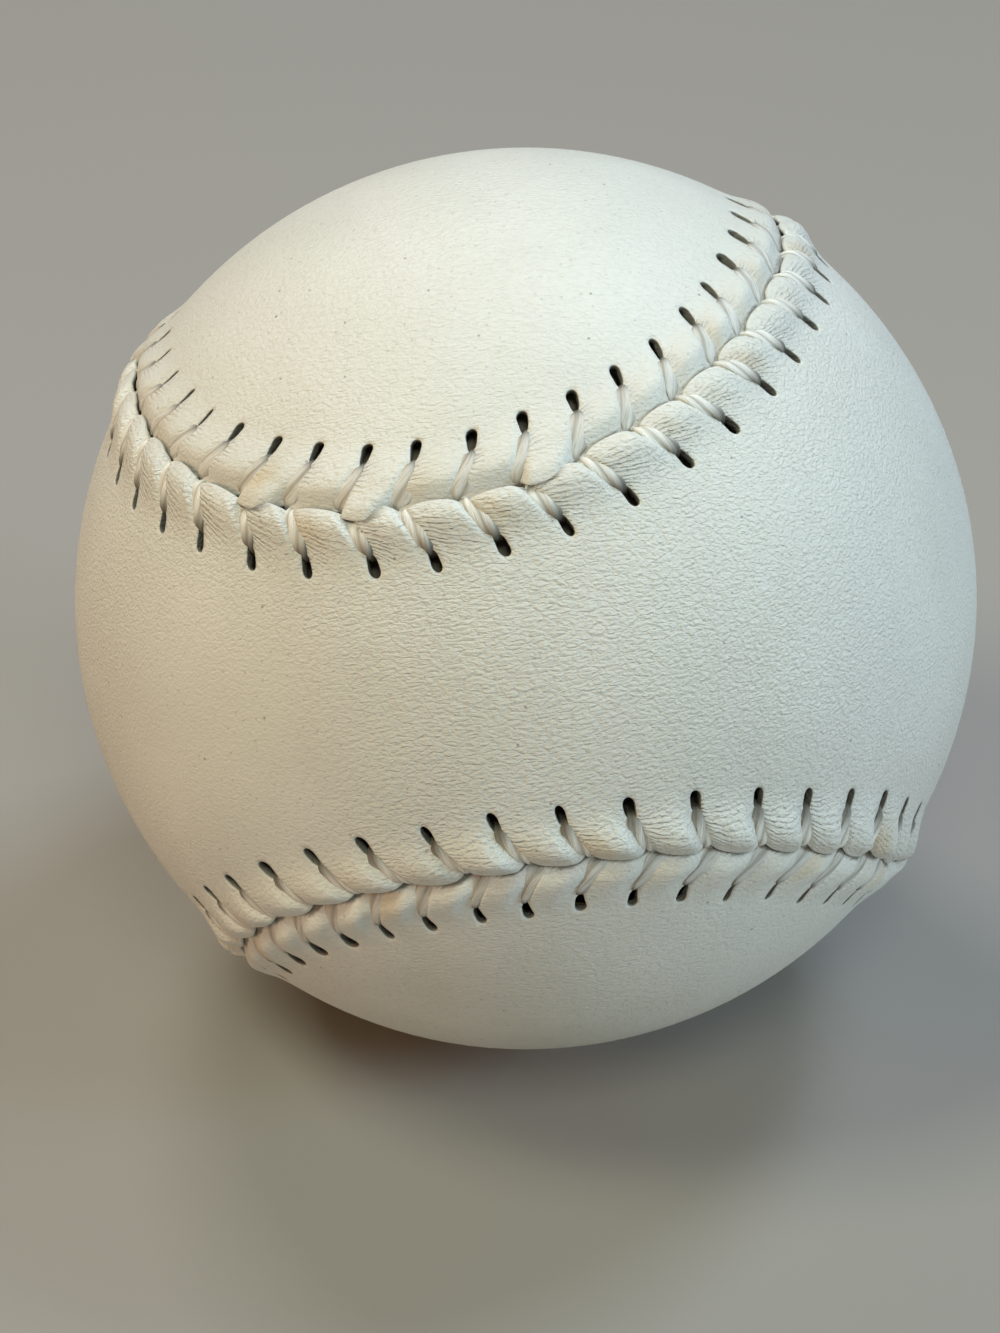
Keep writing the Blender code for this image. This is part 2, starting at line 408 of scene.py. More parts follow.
def crease_lines(side, place, reach):
    """Creases run from each thread over the lobe beside it, spreading as they go, or bow with the lobe's end.
    Gives their coordinate, which is reach at the thread, and how strongly the leather is pulled: a bell
    across the border, which on panel b also falls off from the thread and on panel a rises towards it."""
    lobe, share, way = on_lobe(place)
    from_thread = np.minimum(1 - share, CREASE_LONGEST) * PITCH
    slant = by_half(way, CREASE_SLANT[side]) * from_thread - by_half(way, CREASE_BOW) * tip_scale(place)
    fanned = CREASE_FAN_REACH + (reach - CREASE_FAN_REACH - slant) / (1 + CREASE_FAN * from_thread)
    strength = bell(reach, by_half(way, CREASE_MIDDLE[side]), by_half(way, CREASE_SPREAD[side]))
    strength = strength * by_half(way, CREASE_STRENGTH[side]) * hand[side]["crease"][lobe]
    if side == PANEL_B:
        return fanned, strength * bell(from_thread, 0, SHORT_CREASE)
    pulled = ease(*CREASE_RISE, share) * (1 - ease(*CREASE_FALL, share))
    all_over = by_half(way, CREASE_ALL_OVER)
    return fanned, strength * (all_over + (1 - all_over) * pulled)


# Lobes: their height, where across the border they are highest, and their spread towards the seam and away
# from it; the shares of the lobe over which they rise, and each drop with the shares over which they fall
LOBE_CREST = {PANEL_A: (1.3, 1.45), PANEL_B: (0.85, 0.9)}
LOBE_MIDDLE = {PANEL_A: 1.4, PANEL_B: 2.2}
LOBE_SPREAD_IN = {PANEL_A: (2.109, 1.591), PANEL_B: (1.72, 2.28)}
LOBE_SPREAD_OUT = {PANEL_A: 2.75, PANEL_B: 2.6}
LOBE_RISE = {PANEL_A: ((0.06, 0.24), (0.05, 0.34)), PANEL_B: ((0.08, 0.26), (0.1, 0.5))}
LOBE_FALL = ((0.4, 0.45, 0.93), (0.6, 0.87, 1.0))

# The valley's share of a lobe's height, how deep the edge is tucked under and up to where, and how a lip
# over panel a rises and widens the lobe
LOBE_VALLEY = {PANEL_A: (0.3, 0.05), PANEL_B: (0.55, 0.3)}
TUCK_DEPTH = {PANEL_A: (0.0, 0.0), PANEL_B: (0.35, 0.55)}
TUCK_ENDS = 2.4
LIP_HEIGHT = 0.65
LIP_STARTS = -0.2
LIP_SPREAD = 2.0

# Folds along the creases, their spacing, and numbers that make each lobe's folds differ from the next one's
FOLD_DEPTH = {PANEL_A: 0.03, PANEL_B: 0.006}
FOLD_SPACING = 0.95
FOLD_PHASE = 2.4
FOLD_SWAY = 0.9
FOLD_SWAY_RATE = 5


def lobe_height(side, place, reach):
    """How far the leather stands out: a bell across the border times the lobe between two stitches, which
    rises sharply at one thread and falls gently to the other, with folds where it is pulled. Panel b dips
    under panel a at the seam, or comes out over it."""
    lobe, share, way = on_lobe(place)
    fall = sum(drop * ease(start, end, share) for drop, start, end in LOBE_FALL)
    rise = by_half(way, [ease(*span, share) for span in LOBE_RISE[side]])
    valley = by_half(way, LOBE_VALLEY[side])
    along = valley + (1 - valley) * rise * (1 - fall) * hand[side]["plump"][lobe]
    lip = lip_over_notch(place) if side == PANEL_B else 0.0
    spread_in = by_half(way, LOBE_SPREAD_IN[side]) + LIP_SPREAD * lip
    spread = np.where(reach < LOBE_MIDDLE[side], spread_in, LOBE_SPREAD_OUT[side])
    across = bell(reach, LOBE_MIDDLE[side], spread)
    tuck = by_half(way, TUCK_DEPTH[side]) * (1 - lip) * (1 - ease(0.0, TUCK_ENDS, reach))
    tuck = tuck - LIP_HEIGHT * lip * (1 - ease(LIP_STARTS, TUCK_ENDS, reach))
    fanned, pull = crease_lines(side, place, reach)
    sway = FOLD_SWAY * np.sin(FOLD_SWAY_RATE * share + lobe)
    folds = np.sin(math.tau * fanned / FOLD_SPACING + FOLD_PHASE * lobe + sway)
    return by_half(way, LOBE_CREST[side]) * across * along - tuck + FOLD_DEPTH[side] * pull * folds


# The overhang in stitches, its middle and spread, and the shares of a lobe over which it comes and goes
OVERHANG = {PANEL_A: 0.025, PANEL_B: 0.02}
OVERHANG_MIDDLE = 1.8
OVERHANG_SPREAD = 2.2
OVERHANG_RISE = 0.09
OVERHANG_FALL = (0.2, 0.6)


def overhang(side, place, reach):
    """How far a lobe's steep end bulges over the thread, in stitches: a bell across the border times a hump
    just past that end."""
    _, share, way = on_lobe(place)
    start = LOBE_RISE[side][0][0]
    hump = ease(start, start + OVERHANG_RISE, share) * (1 - ease(*OVERHANG_FALL, share))
    return way * OVERHANG[side] * bell(reach, OVERHANG_MIDDLE, OVERHANG_SPREAD) * hump


# The angle to each end of a panel's middle line, and how the stitches crowd there
MIDLINE_END = math.radians(113)
MIDLINE_CROWDING = 0.85


def midline_direction(side, place):
    """The panel's middle line is an arc over its waist, along which the stitches run out and back: the sine
    of a zigzag, a little crowded at both ends."""
    quarter = STITCHES / 4
    back = np.arcsin(np.sin((place - side * quarter / 2) * math.pi / 2 / quarter))
    angle = MIDLINE_END * np.sin(MIDLINE_CROWDING * back) / math.sin(MIDLINE_CROWDING * math.pi / 2)
    azimuth = math.radians(90 + 45 * side)
    flat = np.sin(angle)
    return np.stack([flat * math.cos(azimuth), flat * math.sin(azimuth), side * np.cos(angle)], axis=-1)


# A panel's grid: columns to a stitch on the lobes, half the columns and rows of a hole, columns to a stitch
# on the plain leather and on the back, and the rows there and round the edge
FINE = 24
HALF_HOLE = 4
PLAIN = 6
BACK = 3
PLAIN_ROWS = 17
BACK_ROWS = 6
EDGE_ROWS = 5

# Rows over the front, by their distance from the rolled edge or, past the lobe, from the seam
BORDER = 10.3
PLAIN_BORDER = 11.3
LOBE_ROWS = np.concatenate([[0, 0.15], np.linspace(0.35, 3.7, 15)])
HOLE_ROWS = HOLE_REACH + HOLE_HALF_LENGTH * np.linspace(-1, 1, 2 * HALF_HOLE + 1)
FRONT_ROWS = np.concatenate([LOBE_ROWS, HOLE_ROWS, [7.1, 7.6, 8.3, 9.2, BORDER]])
EDGE_FADES = 3.6

# The leather's thickness, the roll of its cut edge, and the slopes between which that edge meets the lobe
LEATHER = 1.3
EDGE_ROLL = {PANEL_A: 0.32, PANEL_B: 0.24}
EDGE_SLOPES = (-0.3, 1.2)
SLOPE_STEP = 0.1

# The back's columns beside each hole, which end with the next hole's first, and its rows on both sides of it
BACK_STEPS = np.array([-HALF_HOLE, HALF_HOLE, FINE // 2, FINE - HALF_HOLE])
BACK_REACH = np.array([HOLE_REACH + 1.5, HOLE_REACH - 1.6])
BACK_DEPTH = LEATHER - 0.05


def panel_columns(side):
    """The columns that follow the stitches: each one's stitch, its step from that stitch's hole, its place,
    and half the hole's width in stitches. Steps are even within a hole, and even between two holes."""
    number, step = np.divmod(np.arange(FINE * STITCHES) + HALF_HOLE, FINE)
    step = step - HALF_HOLE
    half_hole = hand[side]["hole"][number % STITCHES]
    between = 1 - half_hole - hand[side]["hole"][(number + 1) % STITCHES]
    past_hole = half_hole + (step - HALF_HOLE) * between / (FINE - 2 * HALF_HOLE)
    place = number + np.where(step <= HALF_HOLE, step * half_hole / HALF_HOLE, past_hole)
    return number, step, place, half_hole


# How fast the press fades outside a hole, for each half of its size
SLOT_FADE = 1.6


def slot_press(side, step):
    """How far each hole's square block of the grid is pressed into a slot, as shares of the hole's half width
    and half length: rows bow at the round ends, columns draw in there and taper towards the seam, and the
    leather round the hole follows less and less."""
    across = np.clip(step / HALF_HOLE, -1, 1)[None]
    row = np.arange(len(FRONT_ROWS)) - len(LOBE_ROWS) - HALF_HOLE
    along = np.clip(row / HALF_HOLE, -1, 1)[:, None]
    far_across = np.maximum(np.abs(step / HALF_HOLE)[None] - 1, 0)
    far_along = np.maximum(np.abs((FRONT_ROWS[:, None] - HOLE_REACH) / HOLE_HALF_LENGTH) - 1, 0)
    fade = np.exp(-((far_across * SLOT_FADE) ** 2) - (far_along * SLOT_FADE) ** 2)
    slot_along = along * (1 - ROUND_END + ROUND_END * np.sqrt(1 - across**2 / 2))
    at_side = np.abs(along) * (1 - ROUND_END + ROUND_END * math.sqrt(0.5))
    in_end = np.maximum(at_side - 1 + ROUND_END, 0) / ROUND_END
    slot_across = across * np.sqrt(1 - in_end**2) * (1 - HOLE_TAPER[side] * (1 - along))
    return (slot_across - across) * fade, (slot_along - along) * fade


def panel_front(side, step, place, half_hole):
    """The rows from the rolled edge to the plain leather: where their points are along and across the seam,
    the points, and those of the edge, an arc from the leather's back round to the lobe's own slope."""
    roll = EDGE_ROLL[side]
    tip = lobe_tip(side, place)
    inside = tip + 0.5 * roll
    rise = lobe_height(side, place, inside + SLOPE_STEP) - lobe_height(side, place, inside - SLOPE_STEP)
    top_turn = np.arctan2(1, np.clip(rise / (2 * SLOPE_STEP), *EDGE_SLOPES))
    top_reach = tip + roll * (1 - np.cos(top_turn))
    press_across, press_along = slot_press(side, step)
    front_place = place + press_across * half_hole
    reach = FRONT_ROWS[:, None] + top_reach * (1 - ease(0, EDGE_FADES, FRONT_ROWS))[:, None]
    reach = reach + press_along * HOLE_HALF_LENGTH
    height = lobe_height(side, front_place, reach)
    bulge = overhang(side, front_place, reach)
    front = sewn_point(side, front_place - bulge, reach, height)

    turn = -math.pi / 2 + (top_turn + math.pi / 2) * (np.arange(EDGE_ROWS) / EDGE_ROWS)[:, None]
    edge_reach = tip + roll * (1 - np.cos(turn))
    edge_height = height[0] + roll * (np.sin(turn) - np.sin(top_turn))
    edge = sewn_point(side, place - bulge[0], edge_reach, edge_height)
    return front_place, reach, front, edge


def plain_leather(side, per_stitch, rows, depth):
    """The plain middle on a coarser lattice: straight lines from the border to the middle line, brought out
    to the ball's radius less a depth."""
    spot = np.arange(per_stitch * STITCHES) / per_stitch
    rim = unit(sewn_point(side, spot, PLAIN_BORDER, 0.0))
    share = np.linspace(0, 1, rows)[:, None, None]
    return unit(rim + share * (midline_direction(side, spot) - rim)) * (RADIUS - depth)


def hole_outline():
    """The grid's rows and columns once round every hole, from a corner near the seam."""
    count = np.arange(2 * HALF_HOLE)
    still = np.zeros_like(count)
    row = np.concatenate([still, count, still + 2 * HALF_HOLE, 2 * HALF_HOLE - count])
    step = np.concatenate([count, still + 2 * HALF_HOLE, 2 * HALF_HOLE - count, still]) - HALF_HOLE
    column = (np.arange(STITCHES)[:, None] * FINE + step) % (FINE * STITCHES)
    return len(LOBE_ROWS) + row, column


# Rings down a hole's wall: the share of its mouth that is left, and the depth
WALL_RINGS = ((0.94, 0.1), (0.9, 0.3), (0.95, 0.8))


def hole_walls(mouth):
    """Each hole's rings: its outline drawn in towards its middle and moved down."""
    middle = mouth.mean(axis=1, keepdims=True)
    return [middle + (mouth - middle) * narrowing - unit(middle) * depth for narrowing, depth in WALL_RINGS]


# Marks on the skin: the creases' stretch along the seam and each panel's own layer of their pattern, how
# strongly they are drawn, where stains lie, how far off the other panel's stitches are, the dirt and painted
# shade under that panel's edge and on the rolled edge, and the painted shade in the holes
CREASE_STRETCH = 0.45
CREASE_LAYER = 40.0
CREASE_PULL = {PANEL_A: 1.0, PANEL_B: 1.2}
STAIN_MIDDLE = 1.8
STAIN_SPREAD = 2.0
STAIN_RISE = (0.35, 0.75)
OTHER_PANEL = 0.15
DIRT_AND_SHADE_UNDER_A = (0.4, 0.85)
DIRT_AND_SHADE_PAST_A = (0.1, 0.2)
DIRT_AND_SHADE_UNDER_B = 0.8
DIRT_AND_SHADE_PAST_B = 0.05
DIRT_AND_SHADE_FADE = {PANEL_A: 0.25, PANEL_B: 0.2}
EDGE_DIRT_AND_SHADE = np.array([0.95, 0.9, 0.7, 0.2, 0.0])
HOLE_SHADE = 0.85


def sewing_marks(side, place, reach):
    """What the sewing does to the skin: the creases' coordinates along the seam and across them, and then
    pull, stain, and dirt with painted shade. Dirt and painted shade lie where the other panel's edge comes
    over this one, and fade past it."""
    lobe, share, way = on_lobe(place)
    fanned, pull = crease_lines(side, place, reach)
    layer = np.full(fanned.shape, CREASE_LAYER * side)
    crease = np.stack([CREASE_STRETCH * place * PITCH, fanned, layer], axis=-1)
    stain = hand[side]["stain"][lobe] * bell(reach, STAIN_MIDDLE, STAIN_SPREAD) * ease(*STAIN_RISE, share)
    across_seam = place + lean(side, reach) - lean(-side, 0.0) - side * OTHER_PANEL
    other_edge = -lobe_tip(-side, across_seam)
    # A dark strip of dirt and painted shade under the other panel's edge or lip, and just past it
    if side == PANEL_A:
        other_edge = other_edge + DIRT_AND_SHADE_PAST_B
        seam_dirt_and_shade = DIRT_AND_SHADE_UNDER_B * lip_over_notch(across_seam)
    else:
        other_edge = other_edge + by_half(way, DIRT_AND_SHADE_PAST_A)
        seam_dirt_and_shade = by_half(way, DIRT_AND_SHADE_UNDER_A) * (1 - lip_over_notch(place))
    seam_dirt_and_shade = seam_dirt_and_shade * (1 - ease(other_edge, other_edge + DIRT_AND_SHADE_FADE[side], reach))
    return crease, np.stack([pull * CREASE_PULL[side], stain, seam_dirt_and_shade], axis=-1)


def between_rows(upper, lower):
    """Four-cornered faces between two closed rows of points, or between two stacks of such rows."""
    return np.stack([upper, np.roll(upper, -1, 1), np.roll(lower, -1, 1), lower], axis=-1)


def panel_surface(side):
    """One panel as a closed skin. Its rows run from the back's middle line out to the edge, round the edge,
    over the lobes and holes, and in to the front's middle line; its columns follow the stitches. Columns
    close up where the leather is plain, and each hole is a block left out, with a tube down to the back."""
    number, step, place, half_hole = panel_columns(side)
    front_place, reach, front, edge = panel_front(side, step, place, half_hole)
    plain = plain_leather(side, PLAIN, PLAIN_ROWS, 0.0)
    back_plain = plain_leather(side, BACK, BACK_ROWS, LEATHER)[::-1]
    back_columns = (np.arange(STITCHES)[:, None] * FINE + BACK_STEPS[:BACK]).ravel() % place.size
    back = sewn_point(side, place[back_columns], BACK_REACH[:, None], -BACK_DEPTH)
    outline = hole_outline()
    walls = hole_walls(front[outline])

    # Numbers of the points, block by block
    blocks = [back_plain, back, edge, front, plain, *walls]
    ids = []
    used = 0
    for block in blocks:
        count = block.size // 3
        ids.append(used + np.arange(count).reshape(block.shape[:-1]))
        used += count
    back_plain_id, back_id, edge_id, front_id, plain_id, *wall_ids = ids

    # The middle lines are shared by both sides of a panel
    for lattice, row, per_stitch in ((plain_id, -1, PLAIN), (back_plain_id, 0, BACK)):
        spots = np.arange(per_stitch * STITCHES)
        turning = STITCHES // 4 * per_stitch * (3 if side == PANEL_A else 1)
        lattice[row] = lattice[row][np.minimum(spots, (turning - spots) % spots.size)]

    # Which coarse column each fine column closes up into
    to_plain = np.rint(place * PLAIN).astype(int) % (PLAIN * STITCHES)
    nearest = np.abs(step[:, None] - BACK_STEPS).argmin(axis=1)
    to_back = (number * BACK + nearest) % (BACK * STITCHES)
    stack = np.concatenate(
        [back_plain_id[:, to_back], back_id[:, to_back], edge_id, front_id, plain_id[:, to_plain]]
    )

    # Faces between the rows, without the holes at the front and the back
    quads = between_rows(stack[:-1], stack[1:])
    keep = np.ones(quads.shape[:2], bool)
    in_hole = (step >= -HALF_HOLE) & (step < HALF_HOLE)
    hole_row = len(back_plain) + len(back) + len(edge) + len(LOBE_ROWS)
    keep[hole_row : hole_row + 2 * HALF_HOLE, in_hole] = False
    keep[len(back_plain), in_hole] = False
    faces = [quads[keep]]

    # The holes' walls, which end in the four corners of the opening at the back
    outer, inner = back_id
    corners = np.stack([inner[0::BACK], inner[1::BACK], outer[1::BACK], outer[0::BACK]], axis=1)
    round_hole = np.arange(outline[0].size)
    nearest_corner = (round_hole + HALF_HOLE) // (2 * HALF_HOLE) % 4
    rings = [front_id[outline], *wall_ids, corners[:, nearest_corner]]
    faces += [between_rows(upper, lower).reshape(-1, 4) for upper, lower in zip(rings[:-1], rings[1:])]
    faces = np.concatenate(faces)
    if side == PANEL_B:
        faces = faces[:, ::-1]

    # The sewing's marks, which are none on the back and the plain leather
    crease, sewn = sewing_marks(side, front_place, reach)
    # The rolled edge is darkest on its underside: dirt and painted shade under the lobe's end
    edge_sewn = np.array(np.broadcast_to(sewn[0], edge.shape))
    edge_sewn[..., 2] = EDGE_DIRT_AND_SHADE[:, None]
    # The holes' walls are painted dark all the way down: painted shade inside the holes
    dark = np.zeros_like(walls[0])
    dark[..., 2] = HOLE_SHADE
    clean = [np.zeros_like(block) for block in blocks]
    marks = {
        "crease": clean[:2] + [np.broadcast_to(crease[0], edge.shape), crease] + clean[4:],
        "sewn": clean[:2] + [edge_sewn, sewn, clean[4]] + [dark] * len(walls),
    }
    points = np.concatenate([block.reshape(-1, 3) for block in blocks])
    marks = {label: np.concatenate([part.reshape(-1, 3) for part in parts]) for label, parts in marks.items()}
    return points, faces, marks


def mesh_object(name, points, faces, attributes):
    """A piece from points in mm and four-cornered faces, in which a repeated corner makes a triangle."""
    same = faces == np.roll(faces, -1, axis=1)
    whole = faces[~same.any(axis=1)]
    folded = faces[same.sum(axis=1) == 1]
    threes = folded[~(folded == np.roll(folded, -1, axis=1))].reshape(-1, 3)
    mesh = bpy.data.meshes.new(name)
    mesh.from_pydata((resting(points) * MM).tolist(), [], whole.tolist() + threes.tolist())
    for label, values in attributes.items():
        layer = mesh.attributes.new(label, "FLOAT_VECTOR", "POINT")
        layer.data.foreach_set("vector", values.astype(np.float32).ravel())
    mesh.validate()
    mesh.shade_smooth()
    piece = bpy.data.objects.new(name, mesh)
    bpy.context.scene.collection.objects.link(piece)
    return piece


def leather_grain(tree, place):
    """Grain: soft pebbles about 0.3 mm wide and twice as long, lying along the panel, in a net of fine lines
    whose meshes are about 2.5 pebbles across."""
    aslant = add(
        tree,
        "ShaderNodeMapping",
        {"Rotation": (0, math.radians(-10), 0), "Scale": (0.66 * MM, 0.3 * MM, 0.3 * MM)},
        {"Vector": place},
        vector_type="TEXTURE",
    ).outputs["Vector"]
    pebble = add(
        tree,
        "ShaderNodeTexNoise",
        {"Scale": 1.0, "Detail": 1.0, "Roughness": 0.4, "Distortion": 0.3},
        {"Vector": aslant},
    )
    bend = add(tree, "ShaderNodeTexNoise", {"Scale": 0.6, "Detail": 2.0}, {"Vector": aslant})
    bent = add(
        tree,
        "ShaderNodeVectorMath",
        {1: (2.0, 2.0, 2.0)},
        {0: bend.outputs["Color"], 2: aslant},
        operation="MULTIPLY_ADD",
    )
    mesh = add(
        tree,
        "ShaderNodeTexVoronoi",
        {"Scale": 1 / 2.5},
        {"Vector": bent.outputs["Vector"]},
        feature="DISTANCE_TO_EDGE",
    )
    between_lines = add(
        tree,
        "ShaderNodeMapRange",
        {"From Min": 0.0, "From Max": 0.16},
        {"Value": mesh.outputs["Distance"]},
        interpolation_type="SMOOTHSTEP",
    )
    return add(
        tree,
        "ShaderNodeMath",
        {1: 0.22},
        {0: between_lines.outputs["Result"], 2: pebble.outputs["Fac"]},
        operation="MULTIPLY_ADD",
    ).outputs["Value"]


def leather_creases(tree, pull):
    """Creases 0.4 mm apart where the thread pulls the leather, along the lines that the mesh carries. At
    scale 1 a wave texture's bands are a twentieth of tau apart."""
    crease = add(tree, "ShaderNodeAttribute", attribute_name="crease")
    wrinkle = add(
        tree,
        "ShaderNodeTexWave",
        {"Scale": math.tau / 20 / 0.4, "Distortion": 5.5, "Detail": 2.0, "Detail Scale": 1.8},
        {"Vector": crease.outputs["Vector"]},
        bands_direction="Y",
    )
    below = add(tree, "ShaderNodeMath", {0: 1.0}, {1: wrinkle.outputs["Fac"]}, operation="SUBTRACT")
    narrow = add(tree, "ShaderNodeMath", {1: 1.6}, {0: below.outputs["Value"]}, operation="POWER")
    return add(
        tree, "ShaderNodeMath", links={0: narrow.outputs["Value"], 1: pull}, operation="MULTIPLY"
    ).outputs["Value"]


def leather_relief(tree, place, grain, creases, grain_depth, pore_depth):
    """The surface's normal: grain, rubbed smoother round one spot, then pores and creases. Real pores are
    finer than the 0.28 mm that they have here, at which they show."""
    rubbed = add(
        tree, "ShaderNodeVectorMath", {1: (-30 * MM, -36 * MM, 4 * MM)}, {0: place}, operation="DISTANCE"
    )
    firm = add(
        tree,
        "ShaderNodeMapRange",
        {"From Min": 8 * MM, "From Max": 26 * MM, "To Min": 0.4, "To Max": 1.0},
        {"Value": rubbed.outputs["Value"]},
        interpolation_type="SMOOTHSTEP",
    )
    grain_bump = add(
        tree,
        "ShaderNodeBump",
        {"Distance": grain_depth * MM},
        {"Height": grain, "Strength": firm.outputs["Result"]},
    )
    pore = add(
        tree,
        "ShaderNodeTexNoise",
        {"Scale": 1 / (0.28 * MM), "Detail": 2, "Roughness": 0.6},
        {"Vector": place},
    )
    pore_bump = add(
        tree,
        "ShaderNodeBump",
        {"Strength": 1.0, "Distance": pore_depth * MM},
        {"Height": pore.outputs["Fac"], "Normal": grain_bump.outputs["Normal"]},
    )
    return add(
        tree,
        "ShaderNodeBump",
        {"Strength": 1.0, "Distance": 0.11 * MM},
        {"Height": creases, "Normal": pore_bump.outputs["Normal"]},
        invert=True,
    ).outputs["Normal"]


def leather_colour(tree, place, grain, creases, stain, dirt_and_shade, grain_dirt):
    """Warm white, mottled over 14 mm, under layers of stain, dirt and painted shade in the creases, dirt in
    the grain, pores about 1.3 mm apart, specks about 3.5 mm apart, and a dark layer that is painted shade in
    the holes and dirt with painted shade at the seam's edges."""
    mottle = add(tree, "ShaderNodeTexNoise", {"Scale": 1 / (14 * MM), "Detail": 3}, {"Vector": place})
    white = add(tree, "ShaderNodeValToRGB", links={"Fac": mottle.outputs["Fac"]})
    white.color_ramp.elements[0].position = 0.3
    white.color_ramp.elements[0].color = linear("#E5E6DE")
    white.color_ramp.elements[1].position = 0.7
    white.color_ramp.elements[1].color = linear("#EDEEE7")
    # Darker in the crease hollows: dirt and painted shade
    crease_dirt_and_shade = add(tree, "ShaderNodeMath", {1: 0.12}, {0: creases}, operation="MULTIPLY")
    hollow = add(
        tree,
        "ShaderNodeMapRange",
        {"From Min": 0.3, "From Max": 0.74, "To Min": grain_dirt, "To Max": 0.0},
        {"Value": grain},
    )
    pore = add(tree, "ShaderNodeTexVoronoi", {"Scale": 1 / (1.3 * MM)}, {"Vector": place})
    in_pore = add(
        tree,
        "ShaderNodeMapRange",
        {"From Min": 0.06, "From Max": 0.16, "To Min": 0.3, "To Max": 0.0},
        {"Value": pore.outputs["Distance"]},
    )
    speck = add(tree, "ShaderNodeTexVoronoi", {"Scale": 1 / (3.5 * MM)}, {"Vector": place})
    on_speck = add(
        tree,
        "ShaderNodeMapRange",
        {"From Min": 0.03, "From Max": 0.055, "To Min": 0.55, "To Max": 0.0},
        {"Value": speck.outputs["Distance"]},
    )
    colour = white.outputs["Color"]
    for tint, amount in (
        ("#DCC59C", stain),
        # dirt and painted shade in the crease hollows
        ("#B5AD9A", crease_dirt_and_shade.outputs["Value"]),
        ("#BDB9AC", hollow.outputs["Result"]),
        ("#9A978D", in_pore.outputs["Result"]),
        ("#5F5B52", on_speck.outputs["Result"]),
        # painted shade in the holes, and dirt with painted shade along the seam's edges
        ("#625D52", dirt_and_shade),
    ):
        layer = add(
            tree,
            "ShaderNodeMix",
            {"B": linear(tint)},
            {"Factor": amount, "A": colour},
            data_type="RGBA",
        )
        colour = layer.outputs["Result"]
    return colour


def white_leather(name, grain_depth, pore_depth, grain_dirt):
    """White finished leather: a soft sheen over a pebbled or finely pored grain, creases where the thread
    pulls it, a few yellow stains and specks, painted shade in the holes, and dirt and painted shade along the
    edges at the seam."""
    material, tree = new_material(name)
    place = add(tree, "ShaderNodeTexCoord").outputs["Object"]
    sewn = add(tree, "ShaderNodeAttribute", attribute_name="sewn")
    # The third channel is painted shade in the holes and dirt with painted shade at the seam's edges
    pull, stain, dirt_and_shade = add(
        tree, "ShaderNodeSeparateXYZ", links={"Vector": sewn.outputs["Vector"]}
    ).outputs
    grain = leather_grain(tree, place)
    creases = leather_creases(tree, pull)
    normal = leather_relief(tree, place, grain, creases, grain_depth, pore_depth)
    colour = leather_colour(tree, place, grain, creases, stain, dirt_and_shade, grain_dirt)
    surface(tree, roughness=0.48, ior=1.5, colour=colour, normal=normal)
    return material


# Panel a's grain is deeper and panel b's is dirtier: grain depth and pore depth in mm, and dirt in the grain
for letter, side, *finish in (("a", PANEL_A, 0.19, 0.05, 0.08), ("b", PANEL_B, 0.1, 0.06, 0.14)):
    panel = mesh_object("leather_panel_" + letter, *panel_surface(side))
    panel.data.materials.append(white_leather("white_leather_" + letter, *finish))
    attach(panel, "root")
    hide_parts("cover_panel_" + letter)


# The thread
# One waxed cotton thread of three twisted plies, with a needle on each end. Each needle comes up a hole,
# lies over the leather, dives into the seam and goes under the other panel to that panel's next hole.

# Its way from a hole to the seam: reach, height over the leather, half width, half depth and darkness. The
# darkness is painted shade where it goes down into the hole and into the seam, partly dirt and partly painted
# shade just outside the hole, and on panel b it stays a little darker along the whole leg
LEG = {
    PANEL_A: np.array(
        [
            (4.75, -2.1, 0.42, 0.42, 1.0),
            (4.65, -1.2, 0.42, 0.42, 1.0),
            (4.5, -0.45, 0.46, 0.42, 1.0),
            (4.25, -0.02, 0.5, 0.36, 0.9),
            (3.9, 0.13, 0.64, 0.32, 0.72),
            (3.5, 0.18, 0.68, 0.3, 0.48),
            (3.0, 0.2, 0.7, 0.3, 0.22),
            (2.4, 0.2, 0.72, 0.3, 0.05),
            (1.8, 0.2, 0.72, 0.3, 0.0),
            (1.3, 0.19, 0.67, 0.3, 0.0),
            (0.9, 0.13, 0.64, 0.32, 0.0),
            (0.55, -0.02, 0.5, 0.36, 0.0),
            (0.3, -0.5, 0.45, 0.42, 0.3),
            (0.1, -1.2, 0.42, 0.42, 0.6),
            (-0.4, -1.9, 0.42, 0.42, 1.0),
            (-1.5, -2.1, 0.42, 0.42, 1.0),
        ]
    ),
    PANEL_B: np.array(
        [
            (4.6, -2.1, 0.45, 0.4, 1.0),
            (4.5, -1.2, 0.45, 0.4, 1.0),
            (4.35, -0.45, 0.48, 0.34, 1.0),
            (4.15, -0.08, 0.5, 0.24, 0.85),
            (3.85, 0.02, 0.62, 0.19, 0.45),
            (3.5, 0.05, 0.68, 0.17, 0.25),
            (3.0, 0.06, 0.75, 0.16, 0.2),
            (2.4, 0.06, 0.86, 0.15, 0.2),
            (1.8, 0.06, 0.97, 0.15, 0.2),
            (1.3, 0.06, 1.05, 0.15, 0.2),
            (0.8, 0.06, 1.05, 0.17, 0.2),
            (0.4, 0.0, 0.79, 0.22, 0.3),
            (0.1, -0.45, 0.59, 0.34, 0.5),
            (-0.2, -1.1, 0.45, 0.4, 0.6),
            (-0.6, -1.9, 0.45, 0.4, 1.0),
            (-1.6, -2.1, 0.45, 0.4, 1.0),
        ]
    ),
}

# Points along a leg and round the thread, its plies, and how far they swell
LEG_SAMPLES = 26
AROUND = 18
PLIES = 3
PLY_SWELL = 0.2

